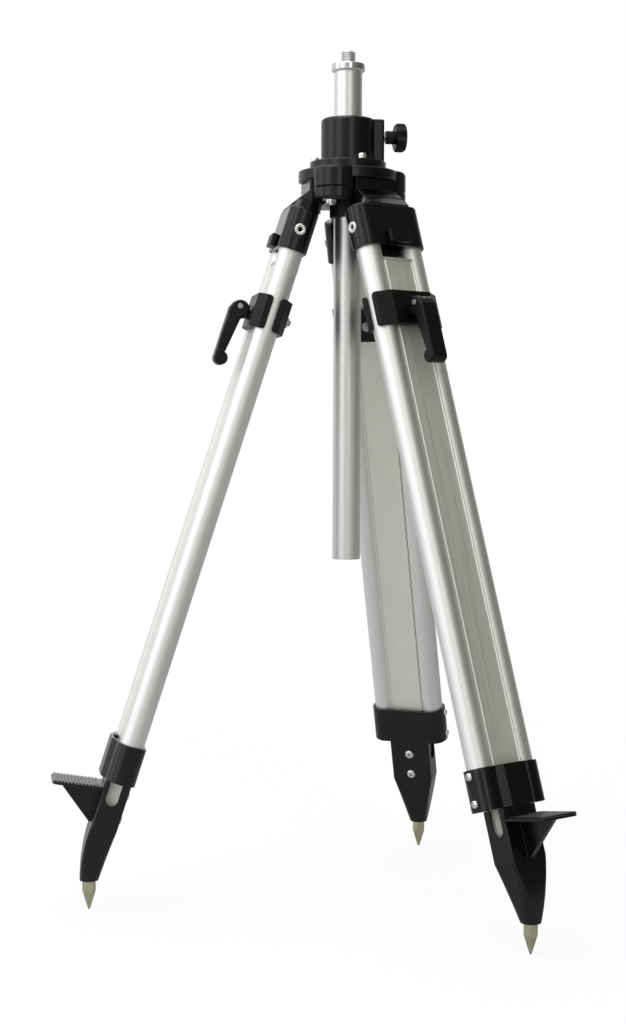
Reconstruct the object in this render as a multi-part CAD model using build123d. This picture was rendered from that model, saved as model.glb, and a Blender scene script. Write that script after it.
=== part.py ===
from build123d import *
import math
import os

# Instrument stud and column
stud_diameter = 15.875
stud_length = 14.0
stud_chamfer = 1.2
seat_diameter = 36.0
seat_thickness = 8.4
seat_edge_round = 1.5
column_diameter = 30.0
column_wall = 2.5
column_length = 522.6
column_showing = 50.0
spigot_length = 30.0

# Column collar
collar_diameter = 58.0
collar_height = 46.4
collar_edge_round = 4.0
flange_diameter = 82.0
flange_thickness = 10.0
flange_edge_round = 1.5
boss_reach = 37.5
boss_width = 26.0
boss_drop = 0.8
boss_edge_round = 3.0
boss_top_round = 2.0
collar_screw_circle = 71.0
collar_screw_turn = 164.0
collar_screw_head = 8.4
collar_screw_head_height = 5.3
collar_screw_shank = 4.0
collar_screw_depth = 16.0

# Column clamp
clamp_drop = 18.3
screw_diameter = 6.0
knob_gap = 3.5
knob_hub_diameter = 13.5
knob_hub_length = 9.8
knob_diameter = 31.0
knob_thickness = 11.6
knob_edge_round = 3.0
knob_lobes = 8
knob_scallop = 7.0
knob_scallop_depth = 2.4
knob_screw_hold = 12.0
pad_diameter = 9.0
pad_length = 5.0

# Head
upper_shell_height = 22.0
lower_shell_height = 13.0
top_plate_thickness = 11.4
top_plate_radius = 53.2
shell_edge_round = 2.0
hub_radius = 36.0
lobe_centre = 37.5
lobe_radius = 24.2
lobe_pad_height = 1.3
lobe_pad_width = 30.0
lobe_pad_margin = 2.4
lobe_pad_split_margin = 0.8
head_stud_circle = 106.0
head_stud_diameter = 6.0
head_stud_cover = 5.0
head_stud_end = 1.2
head_nut_height = 5.0
hex_across_flats = 10.0
bush_diameter = 39.0
bush_drop = 14.2

# Leg hinge
hinge_radius = 36.0
hinge_pin_diameter = 8.0
hinge_pin_length = 68.0
knuckle_radius = 9.5
knuckle_width = 56.0
knuckle_reach = 10.2
knuckle_face_drop = 1.6
knuckle_top_start = 0.5
notch_floor = 26.2
leg_tilt = 17.9
leg_offset = 8.1

# Leg tubes and their castings
tube_diameter = 26.0
tube_wall = 1.5
tube_spacing = 57.0
casting_wall = 3.0
casting_corner = 15.0
socket_start = 26.4
socket_length = 46.2
socket_roof = 4.0
socket_edge_round = 2.5
shoulder_start = 15.0
shoulder_depth = 22.0
shoulder_shift = -2.0
shoulder_foot_depth = 29.0
shoulder_foot_width = 76.0
pocket_width = 24.0
pocket_depth_across = 23.0
pocket_length = 28.0
eyelet_drop = 23.6
eyelet_outer = 12.0
eyelet_bore = 4.5
eyelet_sink = 1.0
eyelet_stand = 1.3
eyelet_hold = 3.6
bracket_start = 619.0
bracket_length = 41.6
bracket_floor = 2.6
plate_rise = 4.7
plate_width = 30.0
plate_foot_width = 46.0
plate_hollow_width = 26.0
bracket_screw_margins = (6.4, 33.4)
bracket_screw_head = 8.0
bracket_screw_head_height = 2.4
bracket_screw_shank = 4.0

# Stop buffer under the yoke
buffer_block_width = 28.0
buffer_block_lift = 14.8
buffer_block_length = 13.4
buffer_block_reach = 6.6
buffer_block_round = 2.0
buffer_neck_width = 16.0
buffer_neck_length = 8.0
buffer_tongue_width = 22.0
buffer_tongue_thickness = 10.0
buffer_tongue_drop = 7.4

# Slide bar
bar_thickness = 21.0
bar_width = 41.0
bar_start = 88.6
bar_hold = 49.6
bar_cavity_width = 25.0
bar_cavity_thickness = 17.0
bead_radius = 1.2
bead_inset = 1.9
end_cap_thickness = 4.0
end_cap_tab_width = 10.0
end_cap_tab_reach = 6.0

# Leg clamp
jaw_start = 124.4
jaw_length = 36.6
jaw_cover = 1.5
jaw_side_round = 4.0
jaw_low = 4.0
jaw_end_face = 10.5
jaw_middle_width = 54.0
clamp_bolt_shank = 6.0
clamp_bolt_end = 2.4
clamp_nut_height = 5.0
eye_radius = 6.2
eye_width = 8.0
lever_pivot_out = 31.4
lever_pin_diameter = 6.0
lever_pin_length = 24.0
cam_radius = 9.9
cam_set_in = 1.1
cam_set_down = 2.8
toe_reach = 12.1
toe_top_reach = 10.4
toe_top_rise = 4.1
toe_drop = 9.7
toe_hollow_radius = 5.5
lever_width = 21.0
lever_outer = 10.1
lever_root_inner = 4.0
lever_neck_inner = 0.2
lever_neck_drop = 49.0
lever_bulb_drop = 58.5
lever_bulb_radius = 7.4
lever_edge_round = 2.2

# Foot
foot_width = 48.0
foot_thickness = 28.0
foot_corner = 3.0
foot_straight = 51.4
foot_waist_drop = 84.0
foot_waist_width = 33.0
foot_waist_thickness = 25.8
foot_waist_set_in = 0.5
foot_waist_corner = 6.0
foot_end_drop = 112.8
foot_end_set_in = 4.1
foot_end_width = 20.0
foot_end_corner = 9.4
window_width = 13.2
window_length = 27.0
window_shift = 1.8
foot_screw_drops = (16.0, 42.5)
foot_screw_head = 10.6
foot_screw_head_height = 3.4
foot_screw_shank = 5.0
pedal_drop = 9.8
pedal_length = 58.0
pedal_root = 4.0
pedal_width = 51.0
pedal_thickness = 3.2
pedal_corner = 7.0
pedal_rise = 9.0
gusset_thickness = 6.0
gusset_reach = 47.6
gusset_foot_reach = 15.0
gusset_depth = 40.0
spike_diameter = 14.6
spike_straight = 10.5
spike_point = 20.5
spike_tip_diameter = 2.0
spike_stub_diameter = 10.0
spike_stub_length = 26.0

# Legs, in turn about the head
leg_names = ("rear", "left", "front")

# Clearances
running_clearance = 0.05
guide_clearance = 0.1
seat_clearance = 0.02
free_clearance = 0.3
stop_clearance = 0.3
side_clearance = 0.4

# Places that follow from the sizes above
leg_step = 360 / len(leg_names)
leg_angles = {leg: (turn + 0.5) * leg_step for turn, leg in enumerate(leg_names)}
lobe_angles = [turn * leg_step for turn in range(len(leg_names))]
column_top = -seat_thickness
column_bottom = column_top - column_length
collar_top = column_top - column_showing
flange_top = collar_top - collar_height
head_top = flange_top - flange_thickness
hinge_height = head_top - upper_shell_height
head_bottom = hinge_height - lower_shell_height
bush_bottom = head_bottom - bush_drop
clamp_height = collar_top - clamp_drop
column_radius = column_diameter / 2
tube_radius = tube_diameter / 2
tube_place = tube_spacing / 2
socket_end = socket_start + socket_length
eyelet_down = socket_start + eyelet_drop
buffer_block_start = socket_end - buffer_block_lift
buffer_tongue_end = socket_end + buffer_tongue_drop
bracket_end = bracket_start + bracket_length
foot_start = bracket_end + stop_clearance
bar_end = foot_start + bar_hold
jaw_middle = jaw_start + jaw_length / 2
jaw_face = lever_pivot_out - toe_reach - stop_clearance
jaw_width = tube_spacing + tube_diameter + 2 * jaw_cover
casting_width = tube_spacing + tube_diameter + 2 * casting_wall
casting_thickness = tube_diameter + 2 * casting_wall
notch_width = knuckle_width + 2 * side_clearance
bar_tube_radius = tube_radius + free_clearance
bar_reach = bar_thickness / 2 + bead_radius
bead_place = bar_width / 2 - bead_inset


def upright(radius, low, high):
    """Cylinder about the vertical axis, between two heights."""
    return Pos(0, 0, low) * Cylinder(radius, high - low, align=(Align.CENTER, Align.CENTER, Align.MIN))


def outward(radius, start, end):
    """Cylinder along X, between two places."""
    return Rot(0, 90, 0) * upright(radius, start, end)


def crosswise(radius, start, end):
    """Cylinder along Y, between two places."""
    return Rot(-90, 0, 0) * upright(radius, start, end)


def hexagon(low, high):
    """Upright hexagon prism of the common nut size."""
    outline = RegularPolygon(hex_across_flats / 2, 6, major_radius=False)
    return Pos(0, 0, low) * extrude(outline, high - low)


def side_profile(points):
    """Face in the X-Z plane through the given points."""
    return make_face(Polyline([(x, 0, z) for x, z in points], close=True))


def down_leg(outline, start, end):
    """Extrude an outline, drawn across the leg, from one distance down the leg to another."""
    return Pos(0, 0, -end) * extrude(outline, end - start)


def tube_circles(radius):
    """Two circles across the leg, at the places of the tubes."""
    return Pos(0, tube_place) * Circle(radius) + Pos(0, -tube_place) * Circle(radius)


def placed(shape, angle):
    """Hang a leg piece, drawn about the leg's middle plane, on its hinge at the standing angle."""
    hinge = Rot(0, 0, angle) * Pos(hinge_radius, 0, hinge_height)
    return hinge * Rot(0, -leg_tilt, 0) * Pos(leg_offset, 0, 0) * shape


def save(name, shapes):
    """Write one node, with each of its pieces as a solid."""
    solids = [solid for shape in shapes for solid in shape.solids()]
    export_step(Compound(children=solids), f"parts/{name}.step")


# Head

def head_outline(middle_radius):
    outline = Circle(middle_radius)
    for angle in lobe_angles:
        outline += Rot(0, 0, angle) * Pos(lobe_centre, 0) * Circle(lobe_radius)
    return outline


def leg_notches(low, high):
    """The three gaps for the leg knuckles, between two heights."""
    reach = lobe_centre + lobe_radius
    notches = []
    for angle in leg_angles.values():
        gap = Box(reach, notch_width, high - low, align=(Align.MIN, Align.CENTER, Align.MIN))
        notches.append(Rot(0, 0, angle) * Pos(notch_floor, 0, low) * gap)
    return notches


def lobe_pads(low, high):
    """Raised pads on the round ends of the lobes, between two heights."""
    pad = Pos(lobe_centre, 0, 0) * upright(lobe_radius + lobe_pad_height, low, high)
    pad = pad & (Pos(lobe_centre, 0, low) * Box(
        2 * lobe_radius, lobe_pad_width, high - low, align=(Align.MIN, Align.CENTER, Align.MIN)))
    return [Rot(0, 0, angle) * pad for angle in lobe_angles]


def hinge_pins(clearance):
    pins = []
    for angle in leg_angles.values():
        pin = crosswise(hinge_pin_diameter / 2 + clearance, -hinge_pin_length / 2, hinge_pin_length / 2)
        pins.append(Rot(0, 0, angle) * Pos(hinge_radius, 0, hinge_height) * pin)
    return pins


def at_lobes(shape):
    return [Rot(0, 0, angle) * Pos(head_stud_circle / 2, 0, 0) * shape for angle in lobe_angles]


def at_collar_screws(shape):
    angles = [collar_screw_turn + turn for turn in lobe_angles]
    return [Rot(0, 0, angle) * Pos(collar_screw_circle / 2, 0, 0) * shape for angle in angles]


def make_shells():
    plate_bottom = head_top - top_plate_thickness
    upper = Pos(0, 0, hinge_height) * extrude(head_outline(hub_radius), upper_shell_height)
    upper += Pos(0, 0, plate_bottom) * extrude(head_outline(top_plate_radius), top_plate_thickness)
    top_edges = upper.edges().group_by(Axis.Z)[-1]
    upper = fillet(top_edges, shell_edge_round)
    lower = Pos(0, 0, head_bottom) * extrude(head_outline(hub_radius), lower_shell_height)
    bottom_edges = lower.edges().group_by(Axis.Z)[0]
    lower = fillet(bottom_edges, shell_edge_round)
    upper += lobe_pads(hinge_height + lobe_pad_split_margin, head_top - lobe_pad_margin)
    lower += lobe_pads(head_bottom + lobe_pad_margin, hinge_height - lobe_pad_split_margin)
    upper -= leg_notches(hinge_height, plate_bottom)
    lower -= leg_notches(head_bottom, hinge_height)
    bore = upright(bush_diameter / 2 + seat_clearance, head_bottom, head_top)
    stud_holes = at_lobes(
        upright(head_stud_diameter / 2 + seat_clearance, head_bottom, head_top - head_stud_cover))
    screw_holes = at_collar_screws(
        upright(collar_screw_shank / 2 + seat_clearance, flange_top - collar_screw_depth, head_top))
    pin_seats = hinge_pins(seat_clearance)
    upper = upper - bore - stud_holes - screw_holes - pin_seats
    lower = lower - bore - stud_holes - pin_seats
    return upper, lower


def make_head_studs():
    """Studs set in the upper shell, with the nuts that draw the lower shell up to it."""
    nut_bottom = head_bottom - head_nut_height
    stud = upright(head_stud_diameter / 2, nut_bottom - head_stud_end, head_top - head_stud_cover)
    nut = hexagon(nut_bottom, head_bottom)
    nut -= upright(head_stud_diameter / 2 + seat_clearance, nut_bottom, head_bottom)
    return at_lobes(stud) + at_lobes(nut)


def clamp_axis(shape):
    """Place a piece drawn along X on the axis of the column clamp."""
    return Pos(0, 0, clamp_height) * shape


def make_collar():
    barrel = upright(collar_diameter / 2, head_top, collar_top)
    barrel = fillet(barrel.edges().group_by(Axis.Z)[-1], collar_edge_round)
    flange = upright(flange_diameter / 2, head_top, flange_top)
    flange = fillet(flange.edges().group_by(Axis.Z)[-1], flange_edge_round)
    boss_height = collar_height - boss_drop
    boss_side = RectangleRounded(2 * boss_reach, boss_width, boss_edge_round)
    boss = Pos(0, 0, flange_top) * extrude(boss_side, boss_height)
    boss = boss & (Pos(0, 0, flange_top) * Box(
        boss_reach, boss_width, boss_height, align=(Align.MIN, Align.CENTER, Align.MIN)))
    boss = fillet(boss.edges().group_by(Axis.Z)[-1].sort_by(Axis.X)[-1], boss_top_round)
    collar = barrel + flange + boss
    collar -= upright(column_radius + free_clearance, head_top, collar_top)
    collar -= clamp_axis(outward(screw_diameter / 2 + guide_clearance, 0, boss_reach))
    pad_room = column_radius + pad_length + screw_diameter
    collar -= clamp_axis(outward(pad_diameter / 2 + guide_clearance, 0, pad_room))
    collar -= at_collar_screws(upright(collar_screw_shank / 2 + seat_clearance, head_top, flange_top))
    return collar


def make_collar_screws():
    screw = upright(collar_screw_shank / 2, flange_top - collar_screw_depth, flange_top)
    screw += upright(collar_screw_head / 2, flange_top, flange_top + collar_screw_head_height)
    return at_collar_screws(screw)


def make_guide_bush():
    bush = upright(bush_diameter / 2, bush_bottom, head_top)
    return bush - upright(column_radius + guide_clearance, bush_bottom, head_top)


def make_knob():
    hub_start = boss_reach + knob_gap
    disc_start = hub_start + knob_hub_length
    disc_end = disc_start + knob_thickness
    disc = outward(knob_diameter / 2, disc_start, disc_end)
    disc = fillet(disc.edges().filter_by(GeomType.CIRCLE), knob_edge_round)
    scallop_place = knob_diameter / 2 + knob_scallop - knob_scallop_depth
    for turn in range(knob_lobes):
        spot = Rot(turn * 360 / knob_lobes, 0, 0) * Pos(0, 0, scallop_place)
        disc -= spot * outward(knob_scallop, disc_start, disc_end)
    knob = disc + outward(knob_hub_diameter / 2, hub_start, disc_start)
    knob -= outward(screw_diameter / 2 + seat_clearance, hub_start, hub_start + knob_screw_hold)
    return clamp_axis(knob)


def make_clamp_screw():
    start = column_radius + guide_clearance + pad_length
    return clamp_axis(outward(screw_diameter / 2, start, boss_reach + knob_gap + knob_screw_hold))


def make_pressure_pad():
    start = column_radius + guide_clearance
    return clamp_axis(outward(pad_diameter / 2, start, start + pad_length))


# Column

def make_column():
    tube = upright(column_radius, column_bottom, column_top)
    return tube - upright(column_radius - column_wall, column_bottom, column_top)


def make_instrument_stud():
    inside = column_radius - column_wall - seat_clearance
    seat = upright(seat_diameter / 2, column_top, 0)
    seat = fillet(seat.edges().filter_by(GeomType.CIRCLE), seat_edge_round)
    stud = upright(stud_diameter / 2, 0, stud_length)
    stud = chamfer(stud.edges().group_by(Axis.Z)[-1], stud_chamfer)
    return seat + stud + upright(inside, column_top - spigot_length, column_top)


# Upper leg

def casting_outline():
    """Outline across the leg of the sleeves that hold both tubes."""
    return RectangleRounded(casting_thickness, casting_width, casting_corner)


def make_yoke():
    body = down_leg(casting_outline(), socket_start, socket_end)
    body = fillet(body.edges().group_by(Axis.Z)[-1], socket_edge_round)
    shoulder_top = Pos(shoulder_shift, 0, -shoulder_start) * Rectangle(shoulder_depth, knuckle_width)
    shoulder_foot = RectangleRounded(shoulder_foot_depth, shoulder_foot_width, casting_corner / 2)
    body += loft([shoulder_top, Pos(0, 0, -socket_start - socket_roof) * shoulder_foot])
    level = math.radians(leg_tilt)
    top = upper_shell_height - top_plate_thickness - stop_clearance
    shoulder_x = casting_thickness / 2 + leg_offset
    shoulder_level = (
        shoulder_x * math.cos(level) + socket_start * math.sin(level),
        shoulder_x * math.sin(level) - socket_start * math.cos(level),
    )
    inner_x = leg_offset - casting_thickness / 2
    inner_level = (
        inner_x * math.cos(level) + socket_start * math.sin(level),
        inner_x * math.sin(level) - socket_start * math.cos(level),
    )
    knuckle_side = side_profile([
        (knuckle_top_start, top),
        (knuckle_reach, top),
        (knuckle_reach, -knuckle_face_drop),
        shoulder_level,
        inner_level,
        (-knuckle_radius, 0),
    ])
    knuckle_side = Pos(0, knuckle_width / 2, 0) * knuckle_side
    knuckle = extrude(knuckle_side, amount=knuckle_width, dir=(0, -1, 0))
    knuckle += crosswise(knuckle_radius, -knuckle_width / 2, knuckle_width / 2)
    knuckle -= crosswise(
        hinge_pin_diameter / 2 + running_clearance, -knuckle_width / 2, knuckle_width / 2)
    body += Pos(-leg_offset, 0, 0) * Rot(0, leg_tilt, 0) * knuckle
    body -= down_leg(tube_circles(tube_radius + seat_clearance), socket_start + socket_roof, socket_end)
    pocket = Rectangle(pocket_depth_across, pocket_width)
    body -= down_leg(pocket, socket_end - pocket_length, socket_end)
    neck_top = buffer_block_start + (buffer_block_length - buffer_neck_length) / 2
    neck = Rectangle(casting_thickness, buffer_neck_width + 2 * seat_clearance)
    body -= down_leg(Pos(casting_thickness / 2, 0) * neck, neck_top, neck_top + buffer_neck_length)
    for side in (-1, 1):
        seat = crosswise(eyelet_outer / 2, -eyelet_sink, eyelet_sink)
        body -= Pos(0, side * casting_width / 2, -eyelet_down) * seat
        shaft = crosswise(eyelet_bore / 2 + tube_wall / 2, -eyelet_hold, eyelet_hold)
        body -= Pos(0, side * casting_width / 2, -eyelet_down) * shaft
    return body


def make_tubes():
    start = socket_start + socket_roof
    end = bracket_end - bracket_floor
    rings = tube_circles(tube_radius) - tube_circles(tube_radius - tube_wall)
    return down_leg(rings, start, end)


def make_eyelets():
    """Flanged eyelets through the outer side of each socket."""
    eyelets = []
    for side in (-1, 1):
        flange = crosswise(eyelet_outer / 2 - seat_clearance, -eyelet_sink, eyelet_stand)
        barrel_radius = eyelet_bore / 2 + tube_wall / 2 - seat_clearance
        barrel = crosswise(barrel_radius, -casting_wall + free_clearance, 0)
        eyelet = flange + barrel - crosswise(eyelet_bore / 2, -casting_wall, eyelet_stand)
        turn = Rot(0, 0, 0 if side > 0 else 180)
        eyelets.append(Pos(0, side * casting_width / 2, -eyelet_down) * turn * eyelet)
    return eyelets


def make_buffer():
    """Stop block on the yoke's outer face, with its neck and the tongue between the tubes."""
    face = casting_thickness / 2
    block = Pos(face + buffer_block_reach / 2, 0) * RectangleRounded(
        buffer_block_reach, buffer_block_width, buffer_block_round)
    buffer = down_leg(block, buffer_block_start, buffer_block_start + buffer_block_length)
    neck_start = buffer_block_start + (buffer_block_length - buffer_neck_length) / 2
    neck = Pos(face / 2, 0) * Rectangle(face, buffer_neck_width)
    buffer += down_leg(neck, neck_start, neck_start + buffer_neck_length)
    tongue = Rectangle(buffer_tongue_thickness, buffer_tongue_width)
    return buffer + down_leg(tongue, neck_start, buffer_tongue_end)


def bar_passage(clearance):
    """Outline across the leg that the slide bar fills, between the tubes."""
    return Rectangle(2 * (bar_reach + clearance), bar_width + 2 * clearance)


def raised_plate():
    """Outline across the leg of the plate that stands out from the bracket, over the slide bar."""
    low = casting_thickness / 2
    face = low + plate_rise
    return make_face(Polyline([
        (0, -plate_foot_width / 2),
        (low, -plate_foot_width / 2),
        (face, -plate_width / 2),
        (face, plate_width / 2),
        (low, plate_foot_width / 2),
        (0, plate_foot_width / 2),
    ], close=True))


def make_bracket():
    body = down_leg(casting_outline() + raised_plate(), bracket_start, bracket_end)
    body -= down_leg(tube_circles(tube_radius + seat_clearance), bracket_start, bracket_end - bracket_floor)
    body -= down_leg(bar_passage(free_clearance), bracket_start, bracket_end)
    hollow_depth = casting_thickness / 2 + plate_rise - casting_wall
    hollow = Pos(hollow_depth / 2, 0) * Rectangle(hollow_depth, plate_hollow_width)
    body -= down_leg(hollow, bracket_start, bracket_end)
    for margin in bracket_screw_margins:
        hole = crosswise(bracket_screw_shank / 2 + seat_clearance, -casting_wall, casting_wall)
        body -= Pos(0, -casting_width / 2, -bracket_start - margin) * hole
    return body


def make_bracket_screws():
    """Two screws in one side of the bracket."""
    head = crosswise(bracket_screw_head / 2, -bracket_screw_head_height, 0)
    head = fillet(head.edges().group_by(Axis.Y)[0], bracket_screw_head_height / 2)
    screw = head + crosswise(bracket_screw_shank / 2, 0, casting_wall - seat_clearance)
    side = -casting_width / 2
    return [Pos(0, side, -bracket_start - margin) * screw for margin in bracket_screw_margins]


# Lower leg

def make_bar():
    outline = Rectangle(bar_thickness, bar_width)
    for face in (-1, 1):
        for edge in (-1, 1):
            outline += Pos(face * bar_thickness / 2, edge * bead_place) * Circle(bead_radius)
    outline -= tube_circles(bar_tube_radius)
    outline -= Rectangle(bar_cavity_thickness, bar_cavity_width)
    bar = down_leg(outline, bar_start, bar_end)
    bolt_hole = outward(clamp_bolt_shank / 2 + guide_clearance, -bar_reach, bar_reach)
    bar -= Pos(0, 0, -jaw_middle) * bolt_hole
    for drop in foot_screw_drops:
        screw_hole = outward(foot_screw_shank / 2 + seat_clearance, -bar_reach, 0)
        bar -= Pos(0, 0, -foot_start - drop) * screw_hole
    return bar


def make_end_cap():
    outline = Rectangle(bar_thickness, bar_width) - tube_circles(bar_tube_radius)
    tab = Rectangle(end_cap_tab_reach, end_cap_tab_width)
    outline += Pos(-(bar_thickness + end_cap_tab_reach) / 2, 0) * tab
    cap = down_leg(outline, bar_start - end_cap_thickness, bar_start)
    plug = Rectangle(bar_cavity_thickness - 2 * seat_clearance, bar_cavity_width - 2 * seat_clearance)
    return cap + down_leg(plug, bar_start, bar_start + 2 * end_cap_thickness)


def make_jaw():
    """Clamp jaw over both tubes and the bar, thick in the middle and thin at its ends."""
    outline = make_face(Polyline([
        (jaw_low, -jaw_width / 2),
        (jaw_end_face, -jaw_width / 2),
        (jaw_face, -jaw_middle_width / 2),
        (jaw_face, jaw_middle_width / 2),
        (jaw_end_face, jaw_width / 2),
        (jaw_low, jaw_width / 2),
    ], close=True))
    outline -= tube_circles(bar_tube_radius)
    outline -= bar_passage(seat_clearance)
    jaw = down_leg(outline, jaw_start, jaw_start + jaw_length)
    side_depth = jaw_face - jaw_low + jaw_side_round
    side = RectangleRounded(side_depth, jaw_length, jaw_side_round)
    side = Pos(jaw_low + side_depth / 2, 0, -jaw_middle) * Rot(90, 0, 0) * side
    jaw = jaw & extrude(side, amount=jaw_width / 2, both=True)
    bolt_hole = outward(clamp_bolt_shank / 2 + guide_clearance, 0, jaw_face)
    return jaw - Pos(0, 0, -jaw_middle) * bolt_hole


def make_clamp_bolt():
    """Eye bolt on the lever's pin, with its nut on the inner jaw."""
    nut_end = jaw_face + clamp_nut_height
    bolt = outward(clamp_bolt_shank / 2, -nut_end - clamp_bolt_end, lever_pivot_out)
    pivot = Pos(lever_pivot_out, 0, 0)
    bolt += pivot * crosswise(eye_radius, -eye_width / 2, eye_width / 2)
    bolt -= pivot * crosswise(lever_pin_diameter / 2 + seat_clearance, -eye_width, eye_width)
    nut = Rot(0, -90, 0) * hexagon(jaw_face, nut_end)
    nut -= outward(clamp_bolt_shank / 2 + seat_clearance, -nut_end, 0)
    return [Pos(0, 0, -jaw_middle) * piece for piece in (bolt, nut)]


def make_lever_pin():
    pin = crosswise(lever_pin_diameter / 2, -lever_pin_length / 2, lever_pin_length / 2)
    return Pos(lever_pivot_out, 0, -jaw_middle) * pin


def make_lever():
    """Cam lever, drawn about its pin and hanging along the leg."""
    hollow_x = -lever_root_inner - toe_hollow_radius
    hollow_z = -toe_drop - toe_hollow_radius
    arm = side_profile([
        (lever_outer, -cam_set_down),
        (lever_outer, -lever_bulb_drop),
        (lever_outer - lever_bulb_radius, -lever_bulb_drop),
        (lever_neck_inner, -lever_neck_drop),
        (-lever_root_inner, hollow_z),
        (hollow_x, hollow_z),
        (hollow_x, -toe_drop),
        (-toe_reach, -toe_drop),
        (-toe_top_reach, toe_top_rise),
        (0, toe_top_rise),
    ])
    bulb = crosswise(lever_bulb_radius, -lever_width / 2, lever_width / 2)
    cam = crosswise(cam_radius, -lever_width / 2, lever_width / 2)
    blank = extrude(Pos(0, lever_width / 2, 0) * arm, amount=lever_width, dir=(0, -1, 0))
    blank -= Pos(hollow_x, 0, hollow_z) * crosswise(toe_hollow_radius, -lever_width, lever_width)
    blank += Pos(lever_outer - lever_bulb_radius, 0, -lever_bulb_drop) * bulb
    blank += Pos(-cam_set_in, 0, -cam_set_down) * cam
    side_edges = blank.edges().group_by(Axis.Y)[0] + blank.edges().group_by(Axis.Y)[-1]
    lever = fillet(side_edges, lever_edge_round)
    slot_width = eye_width + 2 * free_clearance
    slot_reach = toe_reach
    slot = crosswise(eye_radius + free_clearance, -slot_width / 2, slot_width / 2)
    slot += Pos(-slot_reach, 0, 0) * Box(2 * slot_reach, slot_width, 2 * (eye_radius + free_clearance))
    slot += Pos(0, 0, slot_reach) * Box(2 * (eye_radius + free_clearance), slot_width, 2 * slot_reach)
    slot += Pos(-slot_reach, 0, slot_reach) * Box(2 * slot_reach, slot_width, 2 * slot_reach)
    lever -= slot
    lever -= crosswise(lever_pin_diameter / 2 + running_clearance, -lever_width, lever_width)
    return Pos(lever_pivot_out, 0, -jaw_middle) * lever


def level_at(out, drop):
    """Frame at a place on the foot that is level when the leg stands at its angle."""
    return Pos(out, 0, -foot_start - drop) * Rot(0, leg_tilt, 0)


def make_foot():
    foot_end = level_at(-foot_end_set_in, foot_end_drop)
    top = RectangleRounded(foot_thickness, foot_width, foot_corner)
    straight = down_leg(top, foot_start, foot_start + foot_straight)
    waist_spot = Pos(-foot_waist_set_in, 0, -foot_start - foot_waist_drop) * Rot(0, leg_tilt / 2, 0)
    taper = loft([
        Pos(0, 0, -foot_start - foot_straight) * top,
        waist_spot * RectangleRounded(foot_waist_thickness, foot_waist_width, foot_waist_corner),
        foot_end * RectangleRounded(foot_end_width, foot_end_width, foot_end_corner),
    ])
    foot = straight + taper
    pedal_frame = level_at(foot_thickness / 2, pedal_drop)
    plate = Pos(pedal_length / 2, 0) * RectangleRounded(pedal_length, pedal_width, pedal_corner)
    plate = Pos(-pedal_root, 0, -pedal_thickness) * extrude(plate, pedal_thickness)
    foot += pedal_frame * Rot(0, -pedal_rise, 0) * plate
    rise = math.radians(pedal_rise)
    gusset_side = side_profile([
        (-pedal_root, -pedal_thickness / 2),
        (gusset_reach * math.cos(rise), gusset_reach * math.sin(rise) - pedal_thickness / 2),
        (gusset_foot_reach, -gusset_depth),
        (-pedal_root, -gusset_depth),
    ])
    gusset = extrude(Pos(0, gusset_thickness / 2, 0) * gusset_side, amount=gusset_thickness, dir=(0, -1, 0))
    foot += pedal_frame * gusset
    foot -= down_leg(bar_passage(seat_clearance), foot_start, bar_end)
    window = down_leg(Pos(window_shift, 0) * Rectangle(window_width, 2 * foot_width), foot_start,
                      foot_start + window_length - window_width / 2)
    window_round = crosswise(window_width / 2, -foot_width, foot_width)
    window += Pos(window_shift, 0, -foot_start - window_length + window_width / 2) * window_round
    foot -= window
    for drop in foot_screw_drops:
        hole = outward(foot_screw_shank / 2 + seat_clearance, -foot_thickness / 2, 0)
        foot -= Pos(0, 0, -foot_start - drop) * hole
    foot -= foot_end * upright(spike_stub_diameter / 2 + seat_clearance, -seat_clearance, spike_stub_length)
    return foot


def make_foot_screws():
    screws = []
    inner = -foot_thickness / 2
    for drop in foot_screw_drops:
        head = outward(foot_screw_head / 2, inner - foot_screw_head_height, inner)
        screw = head + outward(foot_screw_shank / 2, inner, -bar_cavity_thickness / 2)
        screws.append(Pos(0, 0, -foot_start - drop) * screw)
    return screws


def make_spike():
    length = spike_straight + spike_point
    flare = (spike_diameter - spike_tip_diameter) / 2 / spike_point
    cone = Cone(spike_tip_diameter / 2, spike_tip_diameter / 2 + flare * length, length,
                align=(Align.CENTER, Align.CENTER, Align.MIN))
    bar = extrude(RegularPolygon(spike_diameter / 2, 6), length)
    spike = Pos(0, 0, -length) * (bar & cone)
    spike += upright(spike_stub_diameter / 2, 0, spike_stub_length - free_clearance)
    return level_at(-foot_end_set_in, foot_end_drop) * spike


os.makedirs("parts", exist_ok=True)

upper_shell, lower_shell = make_shells()
save("head_upper_shell", [upper_shell])
save("head_lower_shell", [lower_shell])
save("head_studs", make_head_studs())
save("hinge_pins", hinge_pins(0))
save("column_collar", [make_collar()])
save("collar_screws", make_collar_screws())
save("guide_bush", [make_guide_bush()])
save("clamp_knob", [make_knob()])
save("clamp_screw", [make_clamp_screw()])
save("pressure_pad", [make_pressure_pad()])
save("column_tube", [make_column()])
save("instrument_stud", [make_instrument_stud()])

outer_jaw = make_jaw()
leg_pieces = {
    "yoke": [make_yoke()],
    "leg_tubes": [make_tubes()],
    "socket_eyelets": make_eyelets(),
    "top_buffer": [make_buffer()],
    "bottom_bracket": [make_bracket()],
    "bracket_screws": make_bracket_screws(),
    "slide_bar": [make_bar()],
    "bar_end_cap": [make_end_cap()],
    "outer_jaw": [outer_jaw],
    "inner_jaw": [Rot(0, 0, 180) * outer_jaw],
    "clamp_bolt": make_clamp_bolt(),
    "clamp_lever": [make_lever()],
    "lever_pin": [make_lever_pin()],
    "foot": [make_foot()],
    "foot_screws": make_foot_screws(),
}
spike = make_spike()
for leg, angle in leg_angles.items():
    for piece, shapes in leg_pieces.items():
        save(f"{leg}_{piece}", [placed(shape, angle) for shape in shapes])
    save(f"{leg}_spike", [placed(spike, angle)])
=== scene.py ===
import math

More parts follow.
